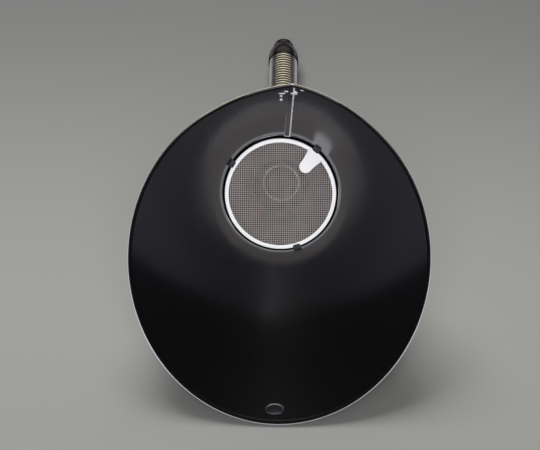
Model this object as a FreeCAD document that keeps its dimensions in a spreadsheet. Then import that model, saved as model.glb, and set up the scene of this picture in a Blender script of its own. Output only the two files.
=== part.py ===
import FreeCAD, Part
import Sketcher
import math
import os
from FreeCAD import Placement, Rotation, Vector

# A filling funnel of sheet metal with an oblique mouth, a lift-out strainer in its neck and a ribbed
# metal spout. It lies as it comes to rest: on the long side of its rim and on the nose of its spout.
#
# Every piece is built in the funnel's own frame. Its Z axis is the axis of the bowl, pointing out of
# the mouth, z = 0 is the cut edge of the bowl's neck, -Y is the long side of the mouth and +Y the
# short side. Azimuths are counted from +X towards +Y. The placement at the end lays it all down.

SIZES = [
    # the bowl
    ("sheet_thickness", 0.6, "sheet of the bowl and of the seat cup"),
    ("wall_angle", 39.0, "slope of the bowl's wall against its axis, degrees"),
    ("neck_radius", 33.7, "inside of the bowl at its neck edge"),
    ("mouth_height", 54.3, "height of the mouth plane on the axis"),
    ("mouth_slope", 20.0, "tilt of the mouth plane, degrees"),
    ("rim_wire_diameter", 2.3, "wire along the rim"),
    # the seam, where the rim comes to a blunt point
    ("seam_azimuth", 84.5, "place of the lap seam, degrees"),
    ("seam_lap", 4.2, "width of the lap"),
    ("lap_azimuth", 86.0, "direction that the lap follows up the wall, degrees"),
    ("lap_offset", 1.5, "how far its middle lies from the axis, across that direction"),
    ("corner_rise", 6.9, "how far the point stands over the mouth plane, along the axis"),
    ("right_span", 57.0, "azimuth on the +X side over which the point runs out, degrees"),
    ("left_span", 45.0, "azimuth on the -X side over which the point runs out, degrees"),
    # hanging hole
    ("hang_hole_width", 9.0, "oval hole near the rim on the long side, across the wall"),
    ("hang_hole_height", 6.4, "the same, up the wall"),
    ("hang_hole_inset", 8.9, "its centre from the rim, along the wall"),
    ("hang_hole_azimuth", -90.8, "its place, degrees"),
    # tangs that hold the strainer down
    ("tang_width", 4.4, "bent tongue of the neck edge"),
    ("tang_reach", 2.3, "how far it reaches in from the neck edge"),
    ("tang_clearance", 0.3, "air between a tang and the strainer"),
    # seat cup
    ("flange_height", 5.0, "part of the cup that hugs the bowl, along the axis"),
    ("ledge_radius", 30.9, "inside of the ledge that carries the strainer"),
    ("cup_depth", 46.0, "neck edge to the small end of the cup's cone"),
    ("cup_collar", 5.0, "straight end of the cup around the socket"),
    # strainer
    ("strainer_radius", 32.5, "outside of the strainer's ring"),
    ("strainer_rim", 2.3, "width of the ring"),
    ("strainer_height", 3.0, "height of the ring"),
    ("strainer_round", 0.4, "rounding of the ring's top edges"),
    ("strainer_shift", 0.5, "how far the ring lies off centre towards the long side"),
    ("tab_azimuth", 49.0, "place of the finger tab, degrees"),
    ("tab_centre", 22.1, "radius to the centre of the tab's round end"),
    ("tab_end_radius", 3.8, "half width of the tab at its round end"),
    ("tab_root_width", 11.2, "width of the tab where it joins the ring"),
    ("tab_thickness", 1.3, "thickness of the tab"),
    ("tab_slope", 19.0, "how far the tab is bent up out of the ring's plane, degrees"),
    ("mesh_drop", 1.8, "top of the ring to the middle of the mesh"),
    ("mesh_thickness", 0.4, "thickness of the woven sheet"),
    ("mesh_pitch", 6.35, "spacing of the gaps that stand for the weave"),
    ("mesh_gap", 4.1, "side of a gap"),
    ("mesh_ridge", 0.5, "width of a raised wire"),
    ("mesh_relief", 0.25, "height of a raised wire"),
    # socket
    ("socket_length", 11.0, "socket below the cup's cone"),
    ("socket_wall", 1.2, "wall of the socket"),
    ("socket_lip", 1.5, "part of the socket that stands over the shoulder"),
    ("socket_shoulder", 1.5, "shoulder that stops the spout"),
    ("socket_bead", 0.8, "rolled bead near the open end of the socket"),
    # spout
    ("spout_radius", 9.8, "outside of the spout over its ribs"),
    ("spout_groove", 0.9, "depth of the grooves between the ribs"),
    ("spout_bore", 7.4, "inside radius of the spout"),
    ("rib_pitch", 2.9, "spacing of the ribs"),
    ("spout_lead", 1.2, "straight run between the socket and the bend"),
    ("bend_radius", 78.0, "radius of the bend, on the centre line"),
    ("spout_run", 114.8, "straight run from the bend to the end of the ribs"),
    ("seat_clearance", 0.15, "radial play of the spout in its socket and in its nose"),
    # nose piece
    ("nose_radius", 10.35, "outside of the nose piece, which lies on the table"),
    ("nose_skirt", 4.2, "straight part of the nose piece"),
    ("nose_grip", 6.0, "depth to which the spout enters the nose piece"),
    ("nose_length", 21.8, "whole length of the nose piece"),
    ("nose_end_radius", 6.8, "outside of the straight end"),
    ("nose_end_length", 4.6, "length of the straight end"),
    ("nose_ring", 0.5, "how far the ring behind the straight end stands out"),
    ("nose_bore", 5.2, "inside radius of the straight end"),
    ("nose_bow", 29.0, "radius of the bowed flank"),
]

TANG_AZIMUTHS = (148.7, 51.3, -72.5)

# Longest stretch of the rim, in degrees, that one pair of arcs or one side of a prism follows
RIM_SPAN = 36.0
# Factor that carries a point of the wall clear of it, outward
OUTSIDE = 1.2
# Part of a rib's spacing that the rib's own foot takes up, on each side of its ridge
RIB_FOOT = 0.38
# How deep a rib's foot sits in the tube
RIB_ROOT = 0.1
# The tab's round end is drawn this much larger than half its width, so that it stays under half a turn
TAB_EASE = 1.0001
TOUCH = 1e-6

doc = FreeCAD.newDocument("FilterFunnel")


def make_sheet():
    """Put every driving size in the spreadsheet, one row each."""
    sheet = doc.addObject("Spreadsheet::Sheet", "Sizes")
    for row, (alias, value, note) in enumerate(SIZES, start=1):
        sheet.set("A%d" % row, alias)
        sheet.set("B%d" % row, str(value))
        sheet.set("C%d" % row, note)
        sheet.setAlias("B%d" % row, alias)
    doc.recompute()
    return sheet


SHEET = make_sheet()


def size(alias):
    return float(getattr(SHEET, alias))


def value_of(expression):
    """Value of an expression over the sheet, used to start a sketch near its solution."""
    return float(SHEET.evalExpression(expression))


# Sizes that follow from the driving ones

SLOPE = math.tan(math.radians(size("wall_angle")))
WALL_RUN = size("sheet_thickness") / math.cos(math.radians(size("wall_angle")))
WIRE_RADIUS = size("rim_wire_diameter") / 2.0
REACH = 4.0 * size("mouth_height")


def polar(radius, azimuth, z):
    angle = math.radians(azimuth)
    return Vector(radius * math.cos(angle), radius * math.sin(angle), z)


class RimPlane:
    """A plane z = a x + b y + c that cuts the middle of the bowl's wall."""

    def __init__(self, a, b, c):
        self.a, self.b, self.c = a, b, c

    def height(self, x, y):
        return self.a * x + self.b * y + self.c

    def normal(self):
        return Vector(-self.a, -self.b, 1.0)

    def point(self, azimuth):
        """The point of the wall's middle surface on this plane at an azimuth."""
        angle = math.radians(azimuth)
        along = self.a * math.cos(angle) + self.b * math.sin(angle)
        middle = size("neck_radius") + WALL_RUN / 2.0
        radius = (middle + SLOPE * self.c) / (1.0 - SLOPE * along)
        return polar(radius, azimuth, (radius - middle) / SLOPE)

    def tangent(self, azimuth):
        """Direction of the section curve: along the plane and along the wall."""
        return self.normal().cross(polar(1.0, azimuth, -SLOPE)).normalize()


def plane_through(point, direction, other):
    """The plane that holds a point, a direction through it and one more point."""
    normal = direction.cross(other - point)
    a, b = -normal.x / normal.z, -normal.y / normal.z
    return RimPlane(a, b, point.z - a * point.x - b * point.y)


def rim_planes():
    """The mouth plane, and on each side of the seam a plane that rises from it to the rim's point."""
    mouth = RimPlane(0.0, -math.tan(math.radians(size("mouth_slope"))), size("mouth_height"))
    seam = size("seam_azimuth")
    foot = mouth.point(seam)
    lift = Vector(0.0, 0.0, size("corner_rise")) + polar(size("corner_rise") * SLOPE, seam, 0.0)
    corner = foot + lift
    sides = []
    for azimuth in (seam - size("right_span"), seam + size("left_span")):
        sides.append(plane_through(mouth.point(azimuth), mouth.tangent(azimuth), corner))
    return mouth, sides[0], sides[1], corner


MOUTH, RIGHT_CUT, LEFT_CUT, CORNER = rim_planes()

# The stretches of the rim, each as its plane and its first and last azimuth
SEAM_START = size("seam_azimuth")
SEAM_END = SEAM_START + 360.0
RIM_STRETCHES = (
    (LEFT_CUT, SEAM_START, SEAM_START + size("left_span")),
    (MOUTH, SEAM_START + size("left_span"), SEAM_END - size("right_span")),
    (RIGHT_CUT, SEAM_END - size("right_span"), SEAM_END),
)


# How it lies

SPOUT_START = size("cup_depth") + size("socket_lip") + size("socket_shoulder")
BEND_START = size("cup_depth") + size("socket_length") + size("spout_lead")


def resting_tilt():
    """Angle of the axis over the table, so that the rim's lowest point and the nose both touch it.

    The rim's lowest point is on the long side, and the spout ends level, at the height of the nose's
    radius: (long + bend) cos T - (height + start) sin T = bend + nose - wire.
    """
    low = MOUTH.point(-90.0)
    across = -low.y + size("bend_radius")
    along = low.z + BEND_START
    level = size("bend_radius") + size("nose_radius") - WIRE_RADIUS
    return math.degrees(math.acos(level / math.hypot(across, along)) - math.atan2(along, across))


TILT = resting_tilt()


def lying_placement():
    """Lay the funnel's frame down, with the middle of the lowest rectangle at the origin."""
    tilt = math.radians(TILT)
    low = MOUTH.point(-90.0)
    height = -low.y * math.cos(tilt) - low.z * math.sin(tilt) + WIRE_RADIUS
    front = low.y * math.sin(tilt) - low.z * math.cos(tilt) - WIRE_RADIUS
    back = BEND_START * math.cos(tilt) + size("bend_radius") * math.sin(tilt)
    back += size("spout_run") + size("nose_length") - size("nose_grip")
    turn = Rotation(Vector(1, 0, 0), 90.0 - TILT)
    return Placement(Vector(0.0, -(front + back) / 2.0, height), turn)


LYING = lying_placement()


def add_shape(label, shape, placement):
    feature = doc.addObject("Part::Feature", label)
    feature.Label = label
    feature.Shape = shape
    feature.Placement = placement
    return feature


# Bowl and rim wire

def prism_below(plane, start, end):
    """Upright prism between two azimuths, from below the neck up to a sloping plane."""
    count = int(math.ceil((end - start) / RIM_SPAN))
    azimuths = [start + (end - start) * i / count for i in range(count + 1)]
    outside = [plane.point(azimuth) * OUTSIDE for azimuth in azimuths]
    ring = [Vector(0, 0, 0)] + outside
    low = [Vector(p.x, p.y, -size("mouth_height")) for p in ring]
    high = [Vector(p.x, p.y, plane.height(p.x, p.y)) for p in ring]
    faces = [Part.Face(Part.makePolygon(level + [level[0]])) for level in (low, high)]
    for i in range(len(ring)):
        side = [low[i - 1], low[i], high[i], high[i - 1], low[i - 1]]
        faces.append(Part.Face(Part.makePolygon(side)))
    solid = Part.Solid(Part.Shell(faces))
    if solid.Volume < 0:
        solid.reverse()
    return solid


def cone_layer(inner_offset, outer_offset):
    """Layer of the bowl's wall between two radial offsets from its inner surface."""
    top = 2.0 * MOUTH.point(-90.0).z
    rise = top * SLOPE
    inner = size("neck_radius") + inner_offset
    outer = size("neck_radius") + outer_offset
    return Part.makeCone(outer, outer + rise, top).cut(Part.makeCone(inner, inner + rise, top))


def lap_strip():
    """The edge of the sheet that overlaps the other edge on the inside of the seam."""
    layer = cone_layer(-WALL_RUN, 0.2 * WALL_RUN)
    side = -size("lap_offset") - size("seam_lap") / 2.0
    slab = Part.makeBox(REACH, size("seam_lap"), REACH, Vector(0.0, side, 0.0))
    slab.rotate(Vector(0, 0, 0), Vector(0, 0, 1), size("lap_azimuth"))
    return layer.common(slab)


def tang(azimuth):
    """Tongue bent in from the neck edge over the strainer, with rounded corners."""
    inner = size("neck_radius") - size("tang_reach")
    depth = size("tang_reach") + WALL_RUN
    width = size("tang_width")
    corner = Vector(inner, -width / 2.0, size("tang_clearance"))
    tongue = Part.makeBox(depth, width, size("sheet_thickness"), corner)
    boxes = [(edge, edge.BoundBox) for edge in tongue.Edges]
    front = [edge for edge, box in boxes if box.XMax < inner + TOUCH and box.YLength < TOUCH]
    tongue = tongue.makeFillet(width / 4.0, front)
    tongue.rotate(Vector(0, 0, 0), Vector(0, 0, 1), azimuth)
    return tongue


def hang_hole():
    """Oval punch across the wall, square to it."""
    azimuth = size("hang_hole_azimuth")
    angle = math.radians(size("wall_angle"))
    rim = MOUTH.point(azimuth)
    centre = rim - polar(math.sin(angle), azimuth, math.cos(angle)) * size("hang_hole_inset")
    normal = polar(math.cos(angle), azimuth, -math.sin(angle))
    length = 10.0 * size("sheet_thickness")
    across = polar(1.0, azimuth + 90.0, 0.0)
    oval = Part.Ellipse(Vector(0, 0, 0), size("hang_hole_width") / 2.0, size("hang_hole_height") / 2.0)
    punch = Part.Face(Part.Wire(oval.toShape())).extrude(Vector(0.0, 0.0, length))
    turn = Rotation(across, normal.cross(across), normal, "XZY")
    punch.Placement = Placement(centre - normal * (length / 2.0), turn)
    return punch


def arc_pair(first, first_way, last, last_way):
    """Two arcs that join two points and keep the direction at both, as (start, way, end)."""
    gap = last - first
    ways = first_way + last_way
    bend = 2.0 * (1.0 - first_way.dot(last_way))
    along = gap.dot(ways)
    reach = (math.sqrt(along ** 2 + bend * gap.dot(gap)) - along) / bend
    middle = (first + first_way * reach + last - last_way * reach) * 0.5
    middle_way = (last - last_way * reach - first - first_way * reach).normalize()
    return [(first, first_way, middle), (middle, middle_way, last)]


def wire_piece(start, way, end):
    """Round wire along the arc that leaves start in a direction and reaches end."""
    chord = end - start
    half_turn = way.getAngle(chord)
    axis = way.cross(chord).normalize()
    centre = start + axis.cross(way) * (chord.Length / (2.0 * math.sin(half_turn)))
    disc = Part.Face(Part.Wire(Part.Circle(start, way, WIRE_RADIUS).toShape()))
    return disc.revolve(centre, axis, math.degrees(2.0 * half_turn))


def rim_wire_shape():
    """Round wire along the rim, its ends soldered together at the seam."""
    pieces = []
    for plane, start, end in RIM_STRETCHES:
        count = int(math.ceil((end - start) / RIM_SPAN))
        stops = [start + (end - start) * i / count for i in range(count + 1)]
        for near, far in zip(stops, stops[1:]):
            first, last = plane.point(near), plane.point(far)
            arcs = arc_pair(first, plane.tangent(near), last, plane.tangent(far))
            pieces += [wire_piece(*arc) for arc in arcs]
    return Part.makeSphere(WIRE_RADIUS, CORNER).multiFuse(pieces).removeSplitter()


def bowl_shape(wire):
    prisms = [prism_below(*stretch) for stretch in RIM_STRETCHES]
    below = prisms[0].multiFuse(prisms[1:])
    sheet = cone_layer(0.0, WALL_RUN).fuse(lap_strip()).common(below)
    sheet = sheet.multiFuse([tang(azimuth) for azimuth in TANG_AZIMUTHS])
    return sheet.cut(hang_hole()).cut(wire).removeSplitter()


# Turned and moulded pieces

def origin_feature(body, role):
    return [item for item in body.Origin.OriginFeatures if item.Role == role][0]


def add_body(label, placement):
    body = doc.addObject("PartDesign::Body", label)
    body.Label = label
    body.Placement = placement
    return body


def add_sketch(body, name, role):
    sketch = body.newObject("Sketcher::SketchObject", name)
    sketch.AttachmentSupport = [(origin_feature(body, role), "")]
    sketch.MapMode = "FlatFace"
    return sketch


def hold(sketch, kind, references, expression):
    """Add one dimension to a sketch and tie it to an expression over the sheet."""
    index = sketch.addConstraint(Sketcher.Constraint(kind, *references, value_of(expression)))
    sketch.setExpression("Constraints[%d]" % index, expression)


def draw_outline(sketch, corners, arcs=None):
    """Closed outline through corners given as pairs of expressions.

    arcs maps the number of a side to the expression of its radius and to +1 or -1, the side of the
    chord on which the arc bulges; every other side is a straight line.
    """
    arcs = arcs or {}
    points = [Vector(value_of(x), value_of(y), 0.0) for x, y in corners]
    count = len(points)
    for i in range(count):
        start, end = points[i], points[(i + 1) % count]
        if i in arcs:
            radius = value_of(arcs[i][0])
            chord = end - start
            across = Vector(-chord.y, chord.x, 0.0).normalize() * arcs[i][1]
            sag = radius - math.sqrt(radius ** 2 - chord.Length ** 2 / 4.0)
            sketch.addGeometry(Part.Arc(start, (start + end) * 0.5 + across * sag, end), False)
        else:
            sketch.addGeometry(Part.LineSegment(start, end), False)
    ends = [side_ends(sketch, i, points[i]) for i in range(count)]
    for i in range(count):
        j = (i + 1) % count
        sketch.addConstraint(Sketcher.Constraint("Coincident", i, ends[i][1], j, ends[j][0]))
    for i, (x, y) in enumerate(corners):
        hold(sketch, "DistanceX", (-1, 1, i, ends[i][0]), x)
        hold(sketch, "DistanceY", (-1, 1, i, ends[i][0]), y)
    for i, (radius, _) in arcs.items():
        hold(sketch, "Radius", (i,), radius)


def side_ends(sketch, index, start):
    """Which end of a side is its first: an arc always runs anticlockwise."""
    side = sketch.Geometry[index]
    return (1, 2) if side.StartPoint.distanceToPoint(start) < TOUCH else (2, 1)


def revolve_outline(body, name, corners, arcs=None):
    """Turn an outline, given as radius and height, about the body's Z axis."""
    sketch = add_sketch(body, name + "Outline", "XZ_Plane")
    draw_outline(sketch, corners, arcs)
    turned = body.newObject("PartDesign::Revolution", name)
    turned.Profile = sketch
    turned.ReferenceAxis = (origin_feature(body, "Z_Axis"), [""])
    turned.Angle = 360.0
    body.Tip = turned
    return turned


WALL_RUN_TEXT = "(Sizes.sheet_thickness / cos(Sizes.wall_angle))"


def add_seat_cup():
    """Pressed cup: flange on the bowl, ledge for the strainer, cone and collar."""
    body = add_body("seat_cup", LYING)
    t = "Sizes.sheet_thickness"
    wall = "(Sizes.neck_radius + %s)" % WALL_RUN_TEXT
    flare = "Sizes.flange_height * tan(Sizes.wall_angle)"
    ledge = "-Sizes.strainer_height"
    collar = "(Sizes.spout_radius + Sizes.seat_clearance + Sizes.socket_wall)"
    low = "-(Sizes.cup_depth + Sizes.cup_collar)"
    corners = [
        (wall, "0"),
        (wall + " + " + flare, "Sizes.flange_height"),
        (wall + " + " + flare + " + " + WALL_RUN_TEXT, "Sizes.flange_height"),
        (wall + " + " + WALL_RUN_TEXT, "0"),
        (wall + " + " + WALL_RUN_TEXT, ledge + " - " + t),
        ("Sizes.ledge_radius", ledge + " - 2 * " + t),
        (collar + " + " + t, "-Sizes.cup_depth"),
        (collar + " + " + t, low),
        (collar, low),
        (collar, "-Sizes.cup_depth + " + t),
        ("Sizes.ledge_radius", ledge),
        (wall, ledge),
    ]
    revolve_outline(body, "CupWall", corners)


def add_strainer_ring():
    """Moulded ring with a finger tab that points to the centre and rises out of the ring's plane."""
    shift = Vector(0.0, -size("strainer_shift"), 0.0)
    turn = Rotation(Vector(0, 0, 1), size("tab_azimuth"))
    body = add_body("strainer_ring", LYING.multiply(Placement(shift, turn)))
    inner = "Sizes.strainer_radius - Sizes.strainer_rim"
    r = "Sizes.strainer_round"
    corners = [
        (inner, "-Sizes.strainer_height"),
        ("Sizes.strainer_radius", "-Sizes.strainer_height"),
        ("Sizes.strainer_radius", "-" + r),
        ("Sizes.strainer_radius - " + r, "0"),
        (inner + " + " + r, "0"),
        (inner, "-" + r),
    ]
    revolve_outline(body, "Ring", corners, {2: (r, -1), 4: (r, -1)})
    sketch = add_sketch(body, "TabOutline", "XY_Plane")
    root = "(Sizes.strainer_radius - Sizes.strainer_rim / 2)"
    half = "Sizes.tab_root_width / 2"
    reach = "-(%s - Sizes.tab_centre) / cos(Sizes.tab_slope)" % root
    corners = [
        (reach, "-Sizes.tab_end_radius"),
        ("0", "-" + half),
        ("0", half),
        (reach, "Sizes.tab_end_radius"),
    ]
    draw_outline(sketch, corners, {3: ("%s * Sizes.tab_end_radius" % TAB_EASE, -1)})
    bend = Rotation(Vector(0, 1, 0), size("tab_slope"))
    sketch.AttachmentOffset = Placement(Vector(value_of(root), 0.0, 0.0), bend)
    tab = body.newObject("PartDesign::Pad", "Tab")
    tab.Profile = sketch
    tab.setExpression("Length", "Sizes.tab_thickness")
    tab.Reversed = True
    body.Tip = tab


def add_outlet_socket():
    """Tube soldered into the cup, with a shoulder inside that stops the spout and a rolled bead."""
    body = add_body("outlet_socket", LYING)
    inner = "(Sizes.spout_radius + Sizes.seat_clearance)"
    outer = "(Sizes.spout_radius + Sizes.seat_clearance + Sizes.socket_wall)"
    top = "-Sizes.cup_depth"
    low = "-(Sizes.cup_depth + Sizes.socket_length)"
    bead_low = low + " + 2 * Sizes.socket_wall"
    bead_high = bead_low + " + 4 * Sizes.socket_bead"
    ledge = top + " - Sizes.socket_lip"
    corners = [
        ("Sizes.spout_bore", ledge + " - Sizes.socket_shoulder"),
        (inner, ledge + " - Sizes.socket_shoulder"),
        (inner, low),
        (outer, low),
        (outer, bead_low),
        (outer, bead_high),
        (outer, top),
        (inner, top),
        (inner, ledge),
        ("Sizes.spout_bore", ledge),
    ]
    arcs = {4: ("2.5 * Sizes.socket_bead", -1)}
    revolve_outline(body, "Tube", corners, arcs)


def add_spout_tip():
    """Nose piece on the end of the spout: skirt, bowed flank, small ring and straight end."""
    path_end = spout_frame(spout_length())
    body = add_body("spout_tip", LYING.multiply(path_end))
    grip = "-Sizes.nose_grip"
    end = "(Sizes.nose_length - Sizes.nose_grip)"
    neck = end + " - Sizes.nose_end_length"
    ring = "(Sizes.nose_end_radius + Sizes.nose_ring)"
    socket = "(Sizes.spout_radius + Sizes.seat_clearance)"
    corners = [
        (socket, grip),
        ("Sizes.nose_radius", grip),
        ("Sizes.nose_radius", grip + " + Sizes.nose_skirt"),
        (ring, neck + " - Sizes.nose_ring"),
        (ring, neck),
        ("Sizes.nose_end_radius", neck + " + Sizes.nose_ring"),
        ("Sizes.nose_end_radius", end + " - Sizes.nose_ring"),
        ("Sizes.nose_end_radius - Sizes.nose_ring", end),
        ("Sizes.nose_bore", end),
        ("Sizes.nose_bore", neck),
        ("Sizes.spout_bore", "0"),
        (socket, "0"),
    ]
    revolve_outline(body, "Nose", corners, {2: ("Sizes.nose_bow", -1)})


# Strainer mesh

def line_places(radius):
    """Middles of the webs between the gaps, from one side of the mesh to the other."""
    pitch = size("mesh_pitch")
    count = int(radius / pitch)
    return [i * pitch for i in range(-count, count + 1)]


def mesh_gaps(radius):
    """Square gaps between the webs, wherever the whole square lies inside the edge."""
    half, pitch, depth = size("mesh_gap") / 2.0, size("mesh_pitch"), size("mesh_thickness")
    limit = radius - size("mesh_ridge")
    count = int(radius / pitch)
    centres = [(i + 0.5) * pitch for i in range(-count - 1, count + 1)]
    gaps = []
    for x in centres:
        for y in centres:
            if math.hypot(abs(x) + half, abs(y) + half) < limit:
                corner = Vector(x - half, y - half, -depth)
                gaps.append(Part.makeBox(2.0 * half, 2.0 * half, 2.0 * depth, corner))
    return gaps


def mesh_ridges(radius):
    """Raised wires, one way on the top face and the other way on the bottom face."""
    width, relief, depth = size("mesh_ridge"), size("mesh_relief"), size("mesh_thickness")
    ridges = []
    for place in line_places(radius - width):
        half = math.sqrt((radius - width / 2.0) ** 2 - (abs(place) + width / 2.0) ** 2)
        start = Vector(-half, place - width / 2.0, 0.0)
        ridges.append(Part.makeBox(2.0 * half, width, depth / 2.0 + relief, start))
        start = Vector(place - width / 2.0, -half, -depth / 2.0 - relief)
        ridges.append(Part.makeBox(width, 2.0 * half, depth / 2.0 + relief, start))
    return ridges


def mesh_shape():
    radius = size("strainer_radius") - size("strainer_rim")
    depth = size("mesh_thickness")
    sheet = Part.makeCylinder(radius, depth, Vector(0, 0, -depth / 2.0))
    return sheet.cut(mesh_gaps(radius)).multiFuse(mesh_ridges(radius)).removeSplitter()


# Spout

def spout_length():
    """Length of the centre line, from the socket's shoulder to the end of the ribs."""
    straight = BEND_START - SPOUT_START
    return straight + size("bend_radius") * math.radians(TILT) + size("spout_run")


def spout_frame(distance):
    """Frame on the centre line, its Z axis along the spout, away from the bowl."""
    straight = BEND_START - SPOUT_START
    radius = size("bend_radius")
    turned = min(max((distance - straight) / radius, 0.0), math.radians(TILT))
    rest = max(distance - straight - radius * math.radians(TILT), 0.0)
    down = SPOUT_START + min(distance, straight) + radius * math.sin(turned) + rest * math.cos(turned)
    side = radius * (1.0 - math.cos(turned)) + rest * math.sin(turned)
    return Placement(Vector(0.0, side, -down), Rotation(Vector(1, 0, 0), 180.0 + math.degrees(turned)))


def tube_along(radius):
    """Plain round tube of the spout: straight, bend, straight."""
    first = spout_frame(0.0)
    bend = spout_frame(BEND_START - SPOUT_START)
    last = spout_frame(spout_length() - size("spout_run"))
    top = Part.makeCylinder(radius, BEND_START - SPOUT_START)
    top.Placement = first
    run = Part.makeCylinder(radius, size("spout_run"))
    run.Placement = last
    disc = Part.Face(Part.Wire(Part.Circle(Vector(0, 0, 0), Vector(0, 0, 1), radius).toShape()))
    disc.Placement = bend
    centre = Vector(0.0, size("bend_radius"), bend.Base.z)
    elbow = disc.revolve(centre, Vector(1, 0, 0), TILT)
    return top.multiFuse([elbow, run])


def rib(distance):
    """One ridge of the spout: two cones base to base."""
    depth = size("spout_groove") + RIB_ROOT
    half = RIB_FOOT * size("rib_pitch") * depth / size("spout_groove")
    inside = size("spout_radius") - depth
    outline = [Vector(inside, 0, -half), Vector(size("spout_radius"), 0, 0), Vector(inside, 0, half)]
    face = Part.Face(Part.makePolygon(outline + [outline[0]]))
    ring = face.revolve(Vector(0, 0, 0), Vector(0, 0, 1), 360.0)
    ring.Placement = spout_frame(distance)
    return ring


def spout_shape():
    """Ribbed tube. Every other rib is joined first, so that no two neighbours meet in one fusion."""
    root = size("spout_radius") - size("spout_groove")
    pitch = size("rib_pitch")
    count = int(spout_length() / pitch)
    margin = (spout_length() - (count - 1) * pitch) / 2.0
    ribs = [rib(margin + i * pitch) for i in range(count)]
    ribbed = tube_along(root).multiFuse(ribs[0::2]).multiFuse(ribs[1::2])
    return ribbed.cut(tube_along(size("spout_bore"))).removeSplitter()


def build():
    wire = rim_wire_shape()
    add_shape("rim_wire", wire, LYING)
    add_shape("funnel_bowl", bowl_shape(wire), LYING)
    add_seat_cup()
    add_strainer_ring()
    mesh_place = Placement(Vector(0.0, -size("strainer_shift"), -size("mesh_drop")), Rotation())
    add_shape("strainer_mesh", mesh_shape(), LYING.multiply(mesh_place))
    add_outlet_socket()
    add_shape("spout_hose", spout_shape(), LYING)
    add_spout_tip()
    doc.recompute()


def check_and_write(names):
    """Stop on any failed object or bad shape, then write one STEP file for each sub-part."""
    for item in doc.Objects:
        if "Invalid" in item.State or "Error" in item.State:
            raise RuntimeError("%s failed: %s" % (item.Label, item.State))
    pieces = [doc.getObjectsByLabel(name)[0] for name in names]
    for piece in pieces:
        if piece.Shape.isNull() or not piece.Shape.isValid():
            raise RuntimeError("bad shape: " + piece.Label)
    os.makedirs("parts", exist_ok=True)
    for piece in pieces:
        piece.Shape.exportStep("parts/%s.step" % piece.Label)
        count = len(piece.Shape.Faces)
        print("%-14s faces %4d volume %9.1f mm3" % (piece.Label, count, piece.Shape.Volume))


NODES = (
    "funnel_bowl", "rim_wire", "seat_cup", "strainer_ring", "strainer_mesh",
    "outlet_socket", "spout_hose", "spout_tip",
)

build()
check_and_write(NODES)
print("axis over the table %.2f degrees, placement %s" % (TILT, LYING))
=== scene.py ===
import bmesh
import bpy
import math
import numpy as np
from mathutils import Matrix, Vector


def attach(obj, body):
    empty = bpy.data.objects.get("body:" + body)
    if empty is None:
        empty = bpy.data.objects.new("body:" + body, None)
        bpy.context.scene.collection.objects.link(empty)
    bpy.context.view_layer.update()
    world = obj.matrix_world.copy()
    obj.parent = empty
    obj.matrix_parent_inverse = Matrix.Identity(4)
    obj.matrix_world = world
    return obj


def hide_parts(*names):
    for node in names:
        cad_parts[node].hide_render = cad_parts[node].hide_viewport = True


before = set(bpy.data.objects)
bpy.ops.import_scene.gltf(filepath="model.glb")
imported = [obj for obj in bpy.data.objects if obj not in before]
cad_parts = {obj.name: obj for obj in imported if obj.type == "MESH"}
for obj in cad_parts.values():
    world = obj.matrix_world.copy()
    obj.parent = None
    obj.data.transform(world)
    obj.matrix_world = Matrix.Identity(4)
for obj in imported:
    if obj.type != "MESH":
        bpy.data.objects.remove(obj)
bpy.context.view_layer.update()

# Sizes in millimetres and degrees, in the funnel's own frame: Z along the axis and out of the mouth,
# z = 0 at the neck edge, -Y the long side. Azimuths run from +X towards +Y.

SHEET = 0.6
WALL = math.radians(39.0)
NECK = 33.7
MOUTH_HEIGHT = 54.3
MOUTH_SLOPE = math.radians(20.0)
WIRE = 1.15
SEAM = 84.5
LAP_SEEN = 3.0
LAP_SHIFT = -1.1
LAP_AZIMUTH = 86.0
CORNER_RISE = 6.9
RIGHT_SPAN = 57.0
LEFT_SPAN = 45.0
HOLE_WIDE = 4.5
HOLE_HIGH = 3.2
HOLE_INSET = 8.9
HOLE_AZIMUTH = -90.8
# Share of the bowl's own tone left at the neck edge; the rest there is painted shade, which fades out up the
# wall.
NECK_UNSHADED = 0.82
TANGS = (148.7, 51.3, -72.5)
TANG_WIDTH = 4.4
TANG_REACH = 2.3
CUP_DEPTH = 46.0
CUP_COLLAR = 5.0
FLANGE_HEIGHT = 5.0
LEDGE_INNER = 30.9
STRAINER_SHIFT = -0.5
TAB_AZIMUTH = 49.0
TAB_SLOPE = math.radians(19.0)
TAB_HINGE = 31.35
TAB_CENTRE = 22.1
TAB_HALF = 3.8
RING_OUTER = 32.5
RING_WIDTH = 2.3
RING_HEIGHT = 3.0
MESH_PITCH = 1.27
MESH_WIRE = 0.23
MESH_RADIUS = 30.7
MESH_DROP = 1.8
SOCKET_LENGTH = 11.0
SOCKET_INNER = 9.95
SOCKET_OUTER = 11.15
SHOULDER = 3.0
SPOUT_RADIUS = 9.8
SPOUT_GROOVE = 0.9
SPOUT_BORE = 7.4
RIB_PITCH = 2.9
LEAD = 1.2
BEND = 78.0
RUN = 114.8
NOSE_RADIUS = 10.35
NOSE_LENGTH = 21.8
NOSE_GRIP = 6.0
NOSE_BOW = 29.0
NOSE_END = 6.8
NOSE_RING = 7.3
NOSE_BORE = 5.2
NOSE_SKIRT = 4.2
NOSE_TAIL = 4.6

MIDDLE = NECK + SHEET / math.cos(WALL) / 2.0
RISE = math.tan(WALL)


def along_plane(plane, azimuth):
    """Point of the wall's middle on a plane z = a x + b y + c, at azimuths in degrees.

    The radius r solves r = middle + rise (a r cos + b r sin + c).
    """
    a, b, c = plane
    angle = np.radians(azimuth)
    slope = a * np.cos(angle) + b * np.sin(angle)
    radius = (MIDDLE + RISE * c) / (1.0 - RISE * slope)
    height = (radius - MIDDLE) / RISE
    return np.stack([radius * np.cos(angle), radius * np.sin(angle), height], axis=-1)


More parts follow.
